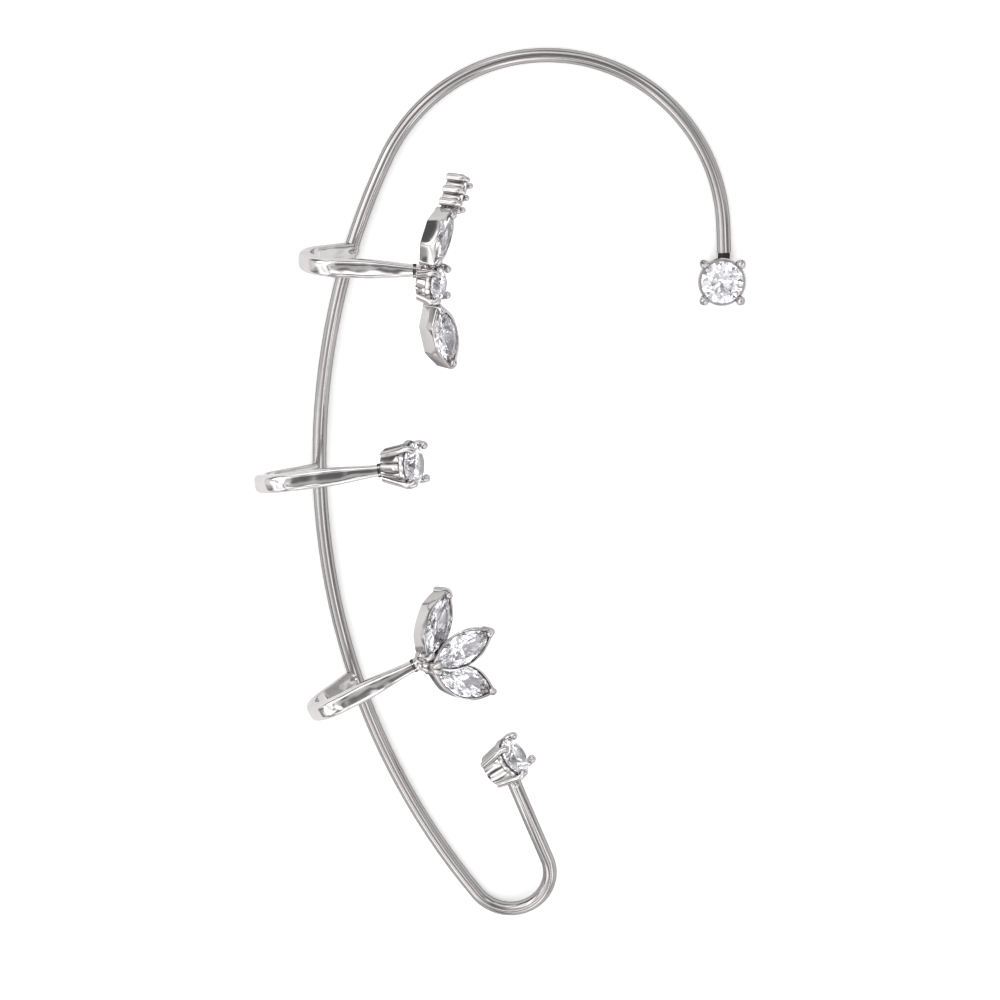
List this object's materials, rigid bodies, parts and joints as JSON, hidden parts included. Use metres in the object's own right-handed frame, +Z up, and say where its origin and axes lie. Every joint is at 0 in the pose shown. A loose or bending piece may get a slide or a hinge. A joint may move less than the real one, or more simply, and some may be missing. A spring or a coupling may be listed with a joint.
{
  "type": "ear cuff",
  "caption": "Full-ear wrap cuff: a round wire follows the ear from its upper front over the top, down the back and round the lobe, with folded bands that clip the rim and carry clear stones.",
  "frame": {"origin": "under the centre of the part's bounding box, on the floor it lies on", "axes": "+X from the wire's back bow toward the front of the ear, +Y up the ear, +Z up from the floor, from the wire toward the stones"},
  "size_m": [0.0348, 0.0634, 0.0094],
  "materials": {
    "polished_metal": "mirror-polished white metal plating",
    "clear_stone": "faceted and polished, colourless"
  },
  "bodies": {
    "root": {"metal_frame": "polished_metal", "top_end_round_stone": "clear_stone", "middle_round_stone": "clear_stone", "lobe_end_round_stone": "clear_stone", "strip_round_stone": "clear_stone", "upper_boat_stone": "clear_stone", "lower_boat_stone": "clear_stone", "petal_upper_boat_stone": "clear_stone", "petal_middle_boat_stone": "clear_stone", "petal_lower_boat_stone": "clear_stone", "lower_tiny_stone": "clear_stone", "upper_tiny_stone": "clear_stone"}
  },
  "joints": []
}
